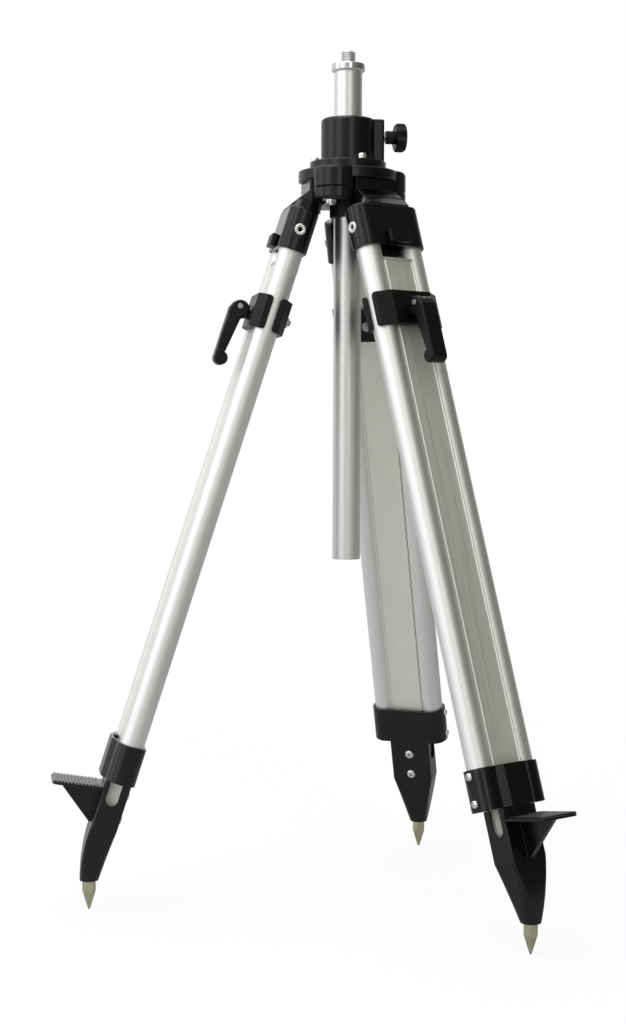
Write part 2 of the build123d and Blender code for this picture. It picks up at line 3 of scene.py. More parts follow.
import bmesh
import bpy
from mathutils import Matrix, Vector


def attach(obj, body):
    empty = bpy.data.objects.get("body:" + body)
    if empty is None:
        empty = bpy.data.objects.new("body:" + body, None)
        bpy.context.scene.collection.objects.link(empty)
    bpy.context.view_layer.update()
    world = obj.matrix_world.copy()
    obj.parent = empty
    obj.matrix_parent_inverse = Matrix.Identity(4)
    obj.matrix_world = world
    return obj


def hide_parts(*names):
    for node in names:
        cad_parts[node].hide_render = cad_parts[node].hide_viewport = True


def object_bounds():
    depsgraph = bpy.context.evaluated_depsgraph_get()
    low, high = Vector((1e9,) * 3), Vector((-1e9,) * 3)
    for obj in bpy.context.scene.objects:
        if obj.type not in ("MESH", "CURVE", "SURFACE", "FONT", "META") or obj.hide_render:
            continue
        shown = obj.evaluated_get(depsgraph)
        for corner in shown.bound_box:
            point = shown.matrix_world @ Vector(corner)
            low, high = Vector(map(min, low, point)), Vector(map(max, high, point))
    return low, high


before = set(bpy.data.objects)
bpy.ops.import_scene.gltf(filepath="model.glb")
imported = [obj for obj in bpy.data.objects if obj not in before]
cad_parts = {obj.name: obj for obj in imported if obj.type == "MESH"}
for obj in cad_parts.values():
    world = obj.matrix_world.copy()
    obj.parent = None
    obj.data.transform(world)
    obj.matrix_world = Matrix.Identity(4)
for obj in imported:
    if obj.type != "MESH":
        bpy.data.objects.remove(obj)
cad_low, cad_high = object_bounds()

# Sizes in metres, in the frame of the solids
MM = 0.001

# Legs
hinge_radius = 36 * MM
hinge_height = -136.8 * MM
leg_tilt = math.radians(17.9)
leg_offset = 8.1 * MM
legs = {"left": math.radians(180), "front": math.radians(300), "rear": math.radians(60)}
tube_radius = 13 * MM
tube_wall = 1.5 * MM
tube_place = 28.5 * MM
tube_start = 30.4 * MM
tube_end = 658 * MM
casting_half_width = 44.5 * MM
eyelet_down = 50 * MM
eyelet_hole_radius = 2.9 * MM
eyelet_hole_depth = 8 * MM
eyelet_seat_reach = 8 * MM
bracket_start = 619 * MM
bracket_screw_margins = (6.4 * MM, 33.4 * MM)
foot_start = 660.9 * MM
foot_half_thickness = 14 * MM
foot_screw_drops = (16 * MM, 42.5 * MM)
pedal_drop = 9.8 * MM
pedal_rise = math.radians(9.0)
tread_count = 13
tread_start = 6 * MM
tread_pitch = 3.7 * MM
tread_half_length = 23.2 * MM
tread_radius = 1.25 * MM

# Column and stud
column_radius = 15 * MM
column_wall = 2.5 * MM
column_top = -8.4 * MM
column_bottom = -531.0 * MM
plug_radius = 12.4 * MM
plug_length = 30 * MM
seat_radius = 18 * MM
seat_edge = 1.5 * MM
stud_core_radius = 6.7 * MM
stud_tip = 14 * MM
stud_thread_start = 0.1 * MM
stud_thread_sizes = {"Turns": 5.7, "Height": 12.9 * MM, "Radius": 6.62 * MM, "Ridge": 1.28 * MM}

# Head and column clamp
third_turns = (0, 120, 240)
flange_top = -104.8 * MM
collar_screw_radius = 35.5 * MM
collar_screw_angles = [math.radians(164 + turn) for turn in third_turns]
head_bottom = -149.8 * MM
head_stud_radius = 53 * MM
lobe_angles = [math.radians(turn) for turn in third_turns]
clamp_height = -76.7 * MM
clamp_screw_radius = 2.5 * MM
clamp_screw_start = 20.1 * MM
clamp_screw_end = 53 * MM
clamp_thread_start = 21 * MM
clamp_thread_sizes = {"Turns": 20, "Height": 20 * MM, "Radius": 2.45 * MM, "Ridge": 0.55 * MM}
knob_hub_start = 41 * MM
knob_hub_length = 9.8 * MM
knob_hub_radius = 6.75 * MM
hub_ridge_count = 20
hub_ridge_sink = 0.25 * MM

# Meshes. Edges sharper than the crease, in degrees, stay crisp.
crease = 32
soft_crease = 50
round_steps = 48
fine_steps = 96
tube_end_edge = 0.3 * MM
merge_distance = 2e-6
flat_angle = math.radians(0.2)
cross_arm_angle = math.radians(15)
angle_slack = math.radians(0.1)

# Stage
camera_place = Vector((-0.3783, -1.9607, -0.3940))
camera_turn = math.radians(10.92)
floor_height = cad_low.z
floor_half_size = 30
# Where the floor fades to white, from the column out, and where its reflection darkens, from left to right
floor_fade = (0.5, 2.5)
floor_shade = (-0.6, 0.9)
lamp_aim = Vector((0, 0, -0.5))
# A strip of light has a strength and, in degrees, an angle to the right of the camera and a half width
light_strips = [(1.0, -79, 9), (1.15, -40, 10), (1.6, 15, 6.5), (0.2, -60, 40)]
strip_softness = 0.4


def leg_place(angle):
    """Matrix from a leg's own frame, which runs out, across and up the leg, to the frame of the solids."""
    hinge = Matrix.Translation((hinge_radius, 0, hinge_height))
    return (Matrix.Rotation(angle, 4, "Z") @ hinge @ Matrix.Rotation(-leg_tilt, 4, "Y")
            @ Matrix.Translation((leg_offset, 0, 0)))


def pedal_place(angle):
    """Matrix from the pedal's top face, at its root, to the frame of the solids."""
    root = Matrix.Translation((foot_half_thickness, 0, -foot_start - pedal_drop))
    return leg_place(angle) @ root @ Matrix.Rotation(leg_tilt - pedal_rise, 4, "Y")


# Node trees

class Value:
    """An output of a node tree. Sums of values are written as expressions and add Math nodes."""

    def __init__(self, tree, socket):
        self.tree = tree
        self.socket = socket

    def maths(self, operation, *others):
        sockets = dict(enumerate((self, *others)))
        return self.tree.node("ShaderNodeMath", {"operation": operation}, sockets)

    def __add__(self, other):
        return self.maths("ADD", other)

    def __sub__(self, other):
        return self.maths("SUBTRACT", other)

    def __mul__(self, other):
        return self.maths("MULTIPLY", other)

    def __truediv__(self, other):
        return self.maths("DIVIDE", other)

    def __pow__(self, other):
        return self.maths("POWER", other)

    def __rsub__(self, other):
        return self.tree.node("ShaderNodeMath", {"operation": "SUBTRACT"}, {0: other, 1: self})

    __radd__ = __add__
    __rmul__ = __mul__

    def at_least(self, low):
        return self.maths("MAXIMUM", low)

    def step(self, low, high):
        """Smooth step from 0 at low to 1 at high."""
        settings = {"interpolation_type": "SMOOTHSTEP"}
        sockets = {"Value": self, "From Min": low, "From Max": high}
        return self.tree.node("ShaderNodeMapRange", settings, sockets)


class Tree:
    """A node tree, with one method that makes any node."""

    def __init__(self, nodes):
        self.nodes = nodes.nodes
        self.links = nodes.links

    def node(self, kind, settings=None, sockets=None, output=0):
        made = self.nodes.new(kind)
        for name, setting in (settings or {}).items():
            setattr(made, name, setting)
        for key, value in (sockets or {}).items():
            if isinstance(value, Value):
                self.links.new(value.socket, made.inputs[key])
            else:
                made.inputs[key].default_value = value
        return Value(self, made.outputs[output]) if made.outputs else made

    def noise(self, place, scale, detail, roughness):
        sockets = {"Vector": place, "Scale": scale, "Detail": detail, "Roughness": roughness}
        return self.node("ShaderNodeTexNoise", None, sockets, "Fac")

    def blend(self, factor, first, second):
        """Colour between first and second."""
        return self.node("ShaderNodeMix", {"data_type": "RGBA"}, {0: factor, 6: first, 7: second}, 2)

    def streaks(self, place, scale, detail, roughness):
        """Noise drawn out along an axis. The scale has a number for each axis."""
        stretched = self.node("ShaderNodeMapping", None, {"Vector": place, "Scale": scale})
        return self.noise(stretched, 1.0, detail, roughness)

    def bump(self, height, distance):
        return self.node("ShaderNodeBump", None, {"Height": height, "Distance": distance, "Strength": 1.0})

    def rays(self):
        """1 on rays from the camera, and 1 on rays mirrored or let through by the object."""
        kinds = ("Is Camera Ray", "Is Glossy Ray", "Is Transmission Ray")
        camera, glossy, through = [self.node("ShaderNodeLightPath", None, None, kind) for kind in kinds]
        return camera, glossy.maths("MAXIMUM", through)

    def parts(self, vector):
        """The three numbers of a vector."""
        return [self.node("ShaderNodeSeparateXYZ", None, {0: vector}, axis) for axis in range(3)]


def grey(level, warmth=0.0):
    """A grey, redder and less blue the warmer it is."""
    return (level * (1 + warmth), level, level * (1 - 1.4 * warmth), 1.0)


def tube_grey(level):
    """The grey of the anodised tubes, a shade less blue."""
    return (0.997 * level, level, 0.982 * level, 1.0)


def new_finish(name):
    """An empty material with its tree, its surface shader's node and the place on the object."""
    finish = bpy.data.materials.new(name)
    finish.use_nodes = True
    tree = Tree(finish.node_tree)
    shader = next(node for node in tree.nodes if node.type == "BSDF_PRINCIPLED")
    place = tree.node("ShaderNodeTexCoord", None, None, "Object")
    return finish, tree, shader, place


def feed(tree, shader, values):
    """Links or sets the shader's sockets."""
    for name, value in values.items():
        if isinstance(value, Value):
            tree.links.new(value.socket, shader.inputs[name])
        else:
            shader.inputs[name].default_value = value


# Finishes

def painted_casting():
    """Satin black paint over an aluminium casting, with a fine skin and cloudy gloss."""
    finish, tree, shader, place = new_finish("black_casting_paint")
    skin = tree.noise(place, scale=1100, detail=3, roughness=0.55)
    cloud = tree.noise(place, scale=42, detail=4, roughness=0.6)
    speck = tree.noise(place, scale=3200, detail=1, roughness=0.4).step(0.66, 0.74)
    feed(tree, shader, {
        "Base Color": tree.blend(cloud, grey(0.0015), grey(0.003)),
        "Roughness": 0.15 + 0.12 * cloud + 0.05 * skin + 0.08 * speck,
        "Specular IOR Level": 0.42,
        "Normal": tree.bump(skin + 0.4 * cloud, distance=0.00005),
    })
    return finish


def moulded_black():
    """Black moulded plastic with a fine grain, rubbed a little smoother in patches."""
    finish, tree, shader, place = new_finish("black_moulding")
    grain = tree.noise(place, scale=1900, detail=2, roughness=0.6)
    rubbed = tree.noise(place, scale=60, detail=3, roughness=0.6).step(0.45, 0.7)
    feed(tree, shader, {
        "Base Color": tree.blend(rubbed, grey(0.002), grey(0.004)),
        "Roughness": 0.36 + 0.1 * grain - 0.1 * rubbed,
        "Specular IOR Level": 0.27,
        "Normal": tree.bump(grain, distance=0.00004),
    })
    return finish


def black_bush_finish():
    """Dull black moulding of the column's guide."""
    finish, tree, shader, place = new_finish("black_bush_moulding")
    grain = tree.noise(place, scale=1500, detail=2, roughness=0.5)
    cloud = tree.noise(place, scale=80, detail=3, roughness=0.5)
    feed(tree, shader, {
        "Base Color": tree.blend(cloud, grey(0.012), grey(0.02)),
        "Roughness": 0.5 + 0.14 * grain,
        "Normal": tree.bump(grain, distance=0.00005),
    })
    return finish


def along_leg(tree, place, angle):
    """Place in the leg's own frame, so that drawn lines run down the leg."""
    sockets = {
        "Vector": place,
        "Location": (hinge_radius * math.cos(angle), hinge_radius * math.sin(angle), hinge_height),
        "Rotation": (0, -leg_tilt, angle),
    }
    return tree.node("ShaderNodeMapping", {"vector_type": "TEXTURE"}, sockets)


def drawn_tube(name, level, roughness, angle=None):
    """Satin anodised tube with fine drawn lines along it and a few rubbed marks."""
    finish, tree, shader, place = new_finish(name)
    if angle is not None:
        place = along_leg(tree, place, angle)
    lines = tree.streaks(place, scale=(1600, 1600, 9), detail=3, roughness=0.6)
    cloud = tree.streaks(place, scale=(60, 60, 14), detail=3, roughness=0.5)
    marks = tree.streaks(place, scale=(420, 420, 26), detail=2, roughness=0.5).step(0.68, 0.74)
    feed(tree, shader, {
        "Base Color": tree.blend(cloud, tube_grey(0.97 * level), tube_grey(1.03 * level)),
        "Metallic": 1.0,
        "Roughness": roughness + 0.1 * (lines - 0.5) + 0.05 * (cloud - 0.5) + 0.05 * marks,
        "Normal": tree.bump(lines, distance=0.000007),
    })
    return finish


def matt_bar(name, angle):
    """Matt anodised slide bar, warmer than the tubes, with drawn lines and rubbed tracks."""
    finish, tree, shader, place = new_finish(name)
    place = along_leg(tree, place, angle)
    lines = tree.streaks(place, scale=(1300, 1300, 7), detail=3, roughness=0.6)
    tracks = tree.streaks(place, scale=(210, 210, 3), detail=2, roughness=0.5).step(0.5, 0.7)
    cloud = tree.noise(place, scale=55, detail=3, roughness=0.5)
    dark, light = (0.84, 0.84, 0.785, 1), (0.94, 0.94, 0.88, 1)
    feed(tree, shader, {
        "Base Color": tree.blend(0.6 * cloud + 0.4 * lines, dark, light),
        "Metallic": 1.0,
        "Roughness": 0.56 + 0.1 * lines - 0.07 * tracks + 0.05 * cloud,
        "Normal": tree.bump(lines, distance=0.000004),
    })
    return finish


def turned_seat():
    """Bright turned aluminium, with tool marks in rings round the stud's axis."""
    finish, tree, shader, place = new_finish("turned_aluminium")
    across, along, up = tree.parts(place)
    radius = (across * across + along * along) ** 0.5
    rings = tree.node("ShaderNodeCombineXYZ", None, {0: radius * 2600, 1: up * 2600})
    marks = tree.noise(rings, scale=1.0, detail=2, roughness=0.6)
    cloud = tree.noise(place, scale=120, detail=3, roughness=0.5)
    feed(tree, shader, {
        "Base Color": tree.blend(cloud, grey(0.72), grey(0.8)),
        "Metallic": 1.0,
        "Roughness": 0.1 + 0.1 * marks + 0.06 * cloud,
        "Normal": tree.bump(marks, distance=0.00001),
    })
    return finish


def plated_steel(name, level, roughness):
    """Plated steel of the screws, nuts, pins and eyelets."""
    finish, tree, shader, place = new_finish(name)
    cloud = tree.noise(place, scale=260, detail=3, roughness=0.6)
    fine = tree.noise(place, scale=2400, detail=2, roughness=0.5)
    feed(tree, shader, {
        "Base Color": tree.blend(cloud, grey(0.94 * level, 0.004), grey(1.06 * level, 0.004)),
        "Metallic": 1.0,
        "Roughness": roughness + 0.16 * cloud + 0.05 * fine,
        "Normal": tree.bump(fine, distance=0.000012),
    })
    return finish


def zinc_plating():
    """Yellow zinc plated steel of the spikes, with patchy passivation and turning marks."""
    finish, tree, shader, place = new_finish("zinc_plating")
    up = tree.parts(place)[2]
    patch = tree.noise(place, scale=150, detail=4, roughness=0.6)
    rings = tree.node("ShaderNodeCombineXYZ", None, {0: up * 1900})
    turning = tree.noise(rings, scale=1.0, detail=2, roughness=0.6)
    tint = tree.blend(patch.step(0.35, 0.65), (0.48, 0.465, 0.3, 1), (0.56, 0.55, 0.41, 1))
    feed(tree, shader, {
        "Base Color": tint,
        "Metallic": 1.0,
        "Roughness": 0.3 + 0.12 * patch + 0.06 * turning,
        "Normal": tree.bump(turning, distance=0.00002),
    })
    return finish


def grey_nylon():
    """Grey moulded nylon of the end caps and the pressure pad."""
    finish, tree, shader, place = new_finish("grey_nylon")
    cloud = tree.noise(place, scale=140, detail=4, roughness=0.6)
    grain = tree.noise(place, scale=1700, detail=2, roughness=0.5)
    feed(tree, shader, {
        "Base Color": tree.blend(cloud, grey(0.4, 0.01), grey(0.5, 0.01)),
        "Roughness": 0.5 + 0.12 * grain,
        "Normal": tree.bump(grain, distance=0.00005),
    })
    return finish


casting_paint = painted_casting()
black_moulding = moulded_black()
bush_moulding = black_bush_finish()
column_finish = drawn_tube("satin_column", level=0.86, roughness=0.38)
tube_finishes = {leg: drawn_tube(f"satin_tubes_{leg}", level=0.88, roughness=0.48, angle=angle)
                 for leg, angle in legs.items()}
bar_finishes = {leg: matt_bar(f"matt_bar_{leg}", angle) for leg, angle in legs.items()}
seat_finish = turned_seat()
plating = plated_steel("bright_plating", level=0.83, roughness=0.16)
eyelet_plating = plated_steel("satin_plating", level=0.83, roughness=0.32)
dull_plating = plated_steel("dull_plating", level=0.4, roughness=0.28)
zinc = zinc_plating()
nylon = grey_nylon()


# Mesh makers

def new_object(name, data):
    """An object in the scene."""
    made = bpy.data.objects.new(name, data)
    bpy.context.scene.collection.objects.link(made)
    return made


def shade(mesh, angle=crease):
    """Smooth shading, with the edges sharper than the angle kept crisp."""
    mesh.shade_smooth()
    mesh.set_sharp_from_angle(angle=math.radians(angle))


def plain_mesh(thing):
    """The evaluated mesh of an object, without its modifiers."""
    bpy.context.view_layer.update()
    evaluated = thing.evaluated_get(bpy.context.evaluated_depsgraph_get())
    return bpy.data.meshes.new_from_object(evaluated)


def piece(name, mesh, body, finish, nodes=()):
    """A finished piece that rides on a body and stands for some of the solids."""
    made = new_object(name, mesh)
    mesh.materials.clear()
    mesh.materials.append(finish)
    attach(made, body)
    if nodes:
        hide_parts(*nodes)


def eased(node, body, finish, edge, left_sharp=()):
    """A copy of a solid's mesh with its sharp edges eased, but for those near the places left sharp.

    The edge is in millimetres, and 0 leaves all the edges sharp. The solid's own normals are kept.
    """
    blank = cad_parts[node].data.copy()
    facing = [0.0] * (3 * len(blank.loops))
    blank.corner_normals.foreach_get("vector", facing)
    blank.attributes.new("facing", "FLOAT_VECTOR", "CORNER").data.foreach_set("vector", facing)
    shell = bmesh.new()
    shell.from_mesh(blank)
    bmesh.ops.remove_doubles(shell, verts=shell.verts, dist=merge_distance)
    bmesh.ops.dissolve_limit(shell, angle_limit=flat_angle, verts=shell.verts, edges=shell.edges)
    share = shell.edges.layers.float.new("bevel_weight_edge")
    for line in shell.edges:
        gaps = [(vert.co - spot).length for vert in line.verts for spot in left_sharp]
        near = any(gap < eyelet_seat_reach for gap in gaps)
        line[share] = 1.0 if line.calc_face_angle(0) > math.radians(crease) and not near else 0.0
    shell.to_mesh(blank)
    shell.free()
    rough = new_object(node + "_blank", blank)
    if edge:
        easing = rough.modifiers.new("edge", "BEVEL")
        easing.width = edge * MM
        easing.segments = 1
        easing.limit_method = "WEIGHT"
        easing.use_clamp_overlap = False
    smooth = plain_mesh(rough)
    bpy.data.objects.remove(rough)
    smooth.shade_smooth()
    kept = smooth.attributes["facing"]
    smooth.normals_split_custom_set([corner.vector.normalized() for corner in kept.data])
    smooth.attributes.remove(smooth.attributes["facing"])
    piece(node + "_piece", smooth, body, finish, [node])


def ring(radius, height, shape="round", count=round_steps):
    """Loop of points about Z. A hexagon's or a cross's radius is half its width across."""
    points = []
    for index in range(count):
        angle = 2 * math.pi * index / count
        reach = radius
        if shape == "hexagon":
            reach = radius / math.cos((angle + math.pi / 6) % (math.pi / 3) - math.pi / 6)
        if shape == "cross":
            off = abs((angle + math.pi / 4) % (math.pi / 2) - math.pi / 4)
            arm = math.tan(cross_arm_angle) * radius
            in_arm = off < cross_arm_angle + angle_slack
            reach = radius / math.cos(off) if in_arm else arm / math.sin(off)
        points.append(Vector((reach * math.cos(angle), reach * math.sin(angle), height)))
    return points


def skin(rings, place=Matrix(), hollow=False):
    """Closed shell through a row of rings. A hollow one joins its last ring to its first."""
    shell = bmesh.new()
    loops = [[shell.verts.new(place @ point) for point in loop] for loop in rings]
    pairs = list(zip(loops, loops[1:]))
    if hollow:
        pairs.append((loops[-1], loops[0]))
    for low, high in pairs:
        for index in range(len(low)):
            following = (index + 1) % len(low)
            shell.faces.new((low[index], low[following], high[following], high[index]))
    if not hollow:
        shell.faces.new(list(reversed(loops[0])))
        shell.faces.new(loops[-1])
    bmesh.ops.recalc_face_normals(shell, faces=shell.faces)
    return shell


def turned(rows, count=round_steps, hollow=False):
    """Shell from rows of a radius, a height and, unless it is round, a shape, in millimetres."""
    rings = [ring(row[0] * MM, row[1] * MM, *row[2:], count=count) for row in rows]
    return skin(rings, hollow=hollow)


def meshed(name, shells, angle=crease):
    """One mesh from several shells."""
    joined = bmesh.new()
    for shell in shells:
        part = bpy.data.meshes.new(name)
        shell.to_mesh(part)
        shell.free()
        joined.from_mesh(part)
        bpy.data.meshes.remove(part)
    mesh = bpy.data.meshes.new(name)
    joined.to_mesh(mesh)
    joined.free()
    shade(mesh, angle)
    return mesh


def pipe(radius, wall, low, high, place=Matrix()):
    """Round tube about Z with eased ends."""
    edge = tube_end_edge
    inner = radius - wall
    rows = [
        (radius - edge, low), (radius, low + edge), (radius, high - edge), (radius - edge, high),
        (inner + edge, high), (inner, high - edge), (inner, low + edge), (inner + edge, low),
    ]
    rings = [ring(reach, height, count=fine_steps) for reach, height in rows]
    return skin(rings, place, hollow=True)


# Geometry trees for what repeats

def new_geometry_tree(name, inputs):
    """A geometry tree with named inputs. Returns the group, its tree and its inputs by name."""
    group = bpy.data.node_groups.new(name, "GeometryNodeTree")
    group.interface.new_socket("Geometry", in_out="OUTPUT", socket_type="NodeSocketGeometry")
    for label, kind in inputs.items():
        group.interface.new_socket(label, in_out="INPUT", socket_type=kind)
    tree = Tree(group)
    source = group.nodes.new("NodeGroupInput")
    return group, tree, {label: Value(tree, source.outputs[label]) for label in inputs}


def end_tree(tree, geometry, finish):
    """Makes the instances real and gives them their finish."""
    realized = tree.node("GeometryNodeRealizeInstances", None, {"Geometry": geometry})
    dressed = tree.node("GeometryNodeSetMaterial", None, {"Geometry": realized, "Material": finish})
    ending = tree.nodes.new("NodeGroupOutput")
    tree.links.new(dressed.socket, ending.inputs[0])


def repeat_tree():
    """Sets a piece on every point, with its Z axis along the point's facing."""
    group, tree, inputs = new_geometry_tree("repeat_on_points", {
        "Points": "NodeSocketGeometry",
        "Piece": "NodeSocketObject",
        "Finish": "NodeSocketMaterial",
        "Spin": "NodeSocketFloat",
    })
    source = tree.node("GeometryNodeObjectInfo", None, {"Object": inputs["Piece"]}, "Geometry")
    settings = {"data_type": "FLOAT_VECTOR"}
    facing = tree.node("GeometryNodeInputNamedAttribute", settings, {"Name": "facing"})
    lined_up = tree.node("FunctionNodeAlignRotationToVector", {"axis": "Z"}, {"Vector": facing})
    about_z = {"Axis": (0, 0, 1), "Angle": inputs["Spin"]}
    spin = tree.node("FunctionNodeAxisAngleToRotation", None, about_z)
    settings = {"rotation_space": "LOCAL"}
    spun = tree.node("FunctionNodeRotateRotation", settings, {0: lined_up, 1: spin})
    placed = tree.node("GeometryNodeInstanceOnPoints", None, {
        "Points": inputs["Points"], "Instance": source, "Rotation": spun})
    end_tree(tree, placed, inputs["Finish"])
    return group


def thread_tree():
    """A screw thread about Z that fades at both ends."""
    group, tree, inputs = new_geometry_tree("screw_thread", {
        "Turns": "NodeSocketFloat",
        "Height": "NodeSocketFloat",
        "Radius": "NodeSocketFloat",
        "Ridge": "NodeSocketFloat",
        "Finish": "NodeSocketMaterial",
    })
    path = tree.node("GeometryNodeCurveSpiral", None, {
        "Resolution": 40, "Rotations": inputs["Turns"], "Start Radius": inputs["Radius"],
        "End Radius": inputs["Radius"], "Height": inputs["Height"]})
    path = tree.node("GeometryNodeSetCurveNormal", {"mode": "Z_UP"}, {"Curve": path})
    along = tree.node("GeometryNodeSplineParameter", None, None, "Factor")
    share, thin = 0.09, 0.05
    fade = along.step(0.0, share) * (1 - along.step(1 - share, 1.0))
    path = tree.node("GeometryNodeSetCurveRadius", None, {
        "Curve": path, "Radius": thin + (1 - thin) * fade})
    ridge = tree.node("GeometryNodeCurvePrimitiveCircle", None, {
        "Resolution": 4, "Radius": inputs["Ridge"]})
    thread = tree.node("GeometryNodeCurveToMesh", None, {
        "Curve": path, "Profile Curve": ridge, "Fill Caps": True})
    thread = tree.node("GeometryNodeSetShadeSmooth", None, {"Geometry": thread, "Shade Smooth": False})
    end_tree(tree, thread, inputs["Finish"])
    return group


def rib_tree():
    """A row of low rounded ribs along X, each lying along Y."""
    group, tree, inputs = new_geometry_tree("rib_row", {
        "Count": "NodeSocketInt",
        "Start": "NodeSocketVector",
        "Pitch": "NodeSocketVector",
        "Half Length": "NodeSocketVector",
        "Back Half Length": "NodeSocketVector",
        "Thickness": "NodeSocketFloat",
        "Finish": "NodeSocketMaterial",
    })
    row = tree.node("GeometryNodeMeshLine", None, {
        "Count": inputs["Count"], "Start Location": inputs["Start"], "Offset": inputs["Pitch"]})
    spine = tree.node("GeometryNodeCurvePrimitiveLine", None, {
        "Start": inputs["Back Half Length"], "End": inputs["Half Length"]})
    outline = tree.node("GeometryNodeCurvePrimitiveCircle", None, {
        "Resolution": 12, "Radius": inputs["Thickness"]})
    rib = tree.node("GeometryNodeCurveToMesh", None, {
        "Curve": spine, "Profile Curve": outline, "Fill Caps": True})
    placed = tree.node("GeometryNodeInstanceOnPoints", None, {"Points": row, "Instance": rib})
    end_tree(tree, placed, inputs["Finish"])
    return group


def grown(name, group, inputs, base=None):
    """The plain mesh that a geometry tree makes from its inputs."""
    blank = new_object(name + "_blank", base or bpy.data.meshes.new(name + "_base"))
    modifier = blank.modifiers.new("shape", "NODES")
    modifier.node_group = group
    for socket in group.interface.items_tree:
        if socket.in_out == "INPUT" and socket.name in inputs:
            modifier[socket.identifier] = inputs[socket.name]
    mesh = plain_mesh(blank)
    bpy.data.objects.remove(blank)
    return mesh


repeat_on_points = repeat_tree()
screw_thread = thread_tree()
rib_row = rib_tree()


def repeated_piece(name, pattern, spots, body, finish, nodes=(), spin=0.0):
    """A finished piece with the pattern at every spot. A spot is a place and the way its Z axis faces."""
    points = bpy.data.meshes.new(name + "_points")
    points.from_pydata([place for place, _ in spots], [], [])
    facings = points.attributes.new("facing", "FLOAT_VECTOR", "POINT")
    for row, (_, facing) in zip(facings.data, spots):
        row.vector = facing
    master = new_object(name + "_pattern", pattern)
    mesh = grown(name, repeat_on_points, {"Piece": master, "Finish": finish, "Spin": spin}, points)
    bpy.data.objects.remove(master)
    piece(name, mesh, body, finish, nodes)


def thread_piece(name, sizes, place, body, finish):
    """A finished screw thread of the sizes, set along the Z axis of the place."""
    mesh = grown(name, screw_thread, {**sizes, "Finish": finish})
    mesh.transform(place)
    piece(name, mesh, body, finish)


# Column and stud

column = pipe(column_radius, column_wall, column_bottom, column_top)
piece("column_tube_piece", meshed("column_tube_piece", [column]), "column",
      column_finish, ["column_tube"])


def rounded_disc(radius, low, high, edge, steps=6):
    """Rows of a disc with round edges, from its lower face to its upper face."""
    turns = [math.pi / 2 * step / steps for step in range(steps + 1)]
    reach = radius - edge
    lower = [(reach + edge * math.sin(turn), low + edge - edge * math.cos(turn)) for turn in turns]
    upper = [(reach + edge * math.cos(turn), high - edge + edge * math.sin(turn)) for turn in turns]
    return lower + upper


def stud_shell():
    """Plug in the column, seat with a groove round the stud, and the stud's core with its point."""
    rows = [(plug_radius, column_top - plug_length), (plug_radius, column_top)]
    rows += rounded_disc(seat_radius, column_top, 0, seat_edge)
    groove = [(9.6, 0.0), (9.4, -0.35), (8.3, -0.35), (8.1, 0.0)]
    rows += [(reach * MM, height * MM) for reach, height in groove]
    point = [(0.0, -1.2), (-0.9, -0.1), (-1.1, 0.0)]
    rows += [(stud_core_radius, 0.0)]
    rows += [(stud_core_radius + reach * MM, stud_tip + height * MM) for reach, height in point]
    return skin([ring(reach, height, count=fine_steps) for reach, height in rows])


stud_mesh = meshed("instrument_stud_piece", [stud_shell()])
piece("instrument_stud_piece", stud_mesh, "column", seat_finish, ["instrument_stud"])
stud_base = Matrix.Translation((0, 0, stud_thread_start))
thread_piece("stud_thread", stud_thread_sizes, stud_base, "column", seat_finish)

# Head

eased("head_upper_shell", "head", casting_paint, edge=0.5)
eased("head_lower_shell", "head", casting_paint, edge=0.5)
eased("column_collar", "head", casting_paint, edge=0)
eased("guide_bush", "head", bush_moulding, edge=0.6)
eased("hinge_pins", "head", plating, edge=0.4)


def socket_screw():
    """Cylinder head screw with a hexagon socket, its head standing on Z = 0."""
    rows = [(2.0, -10.0), (2.0, 0.0), (4.0, 0.0), (4.2, 0.25), (4.2, 4.9), (3.85, 5.3), (2.1, 5.3),
            (1.9, 5.15, "hexagon"), (1.85, 2.5, "hexagon"), (0.4, 2.3)]
    return meshed("socket_screw", [turned(rows)])


def hex_nut():
    """Hexagon nut on Z = 0 with the bolt's end through it."""
    nut = [(4.7, 0.0), (5.0, 0.5, "hexagon"), (5.0, 4.4, "hexagon"), (4.75, 5.0), (3.35, 5.0), (3.0, 4.7)]
    end = [(3.0, 4.3), (3.0, 5.8), (2.6, 6.2)]
    return meshed("hex_nut", [turned(nut), turned(end)])


def round_about(radius, height, angles):
    """Places on a circle about Z."""
    return [Vector((radius * math.cos(angle), radius * math.sin(angle), height)) for angle in angles]


up = Vector((0, 0, 1))
screw_spots = [(place, up) for place in round_about(collar_screw_radius, flange_top, collar_screw_angles)]
repeated_piece("collar_screws_piece", socket_screw(), screw_spots, "head", plating,
               ["collar_screws"], spin=0.3)
nut_spots = [(place, -up) for place in round_about(head_stud_radius, head_bottom, lobe_angles)]
repeated_piece("head_nuts_piece", hex_nut(), nut_spots, "head", plating,
               ["head_studs"], spin=0.2)

# Column clamp

knob_axis = Matrix.Translation((0, 0, clamp_height)) @ Matrix.Rotation(math.pi / 2, 4, "Y")
eased("clamp_knob", "knob", black_moulding, edge=0.2)
eased("pressure_pad", "clamp_pad", nylon, edge=0.4)
screw_ends = [ring(clamp_screw_radius, height) for height in (clamp_screw_start, clamp_screw_end)]
screw_core = meshed("clamp_screw_piece", [skin(screw_ends, knob_axis)])
piece("clamp_screw_piece", screw_core, "knob", plating, ["clamp_screw"])
screw_base = knob_axis @ Matrix.Translation((0, 0, clamp_thread_start))
thread_piece("clamp_screw_thread", clamp_thread_sizes, screw_base, "knob", plating)
hub_turns = [2 * math.pi * step / hub_ridge_count for step in range(hub_ridge_count)]
hub_places = round_about(knob_hub_radius - hub_ridge_sink, knob_hub_start + knob_hub_length / 2, hub_turns)
hub_spots = [(knob_axis @ place, knob_axis.to_3x3() @ up) for place in hub_places]
hub_ridge = meshed("hub_ridge", [turned([(0.25, -4.5), (0.6, -4.1), (0.6, 4.1), (0.25, 4.5)], count=10)])
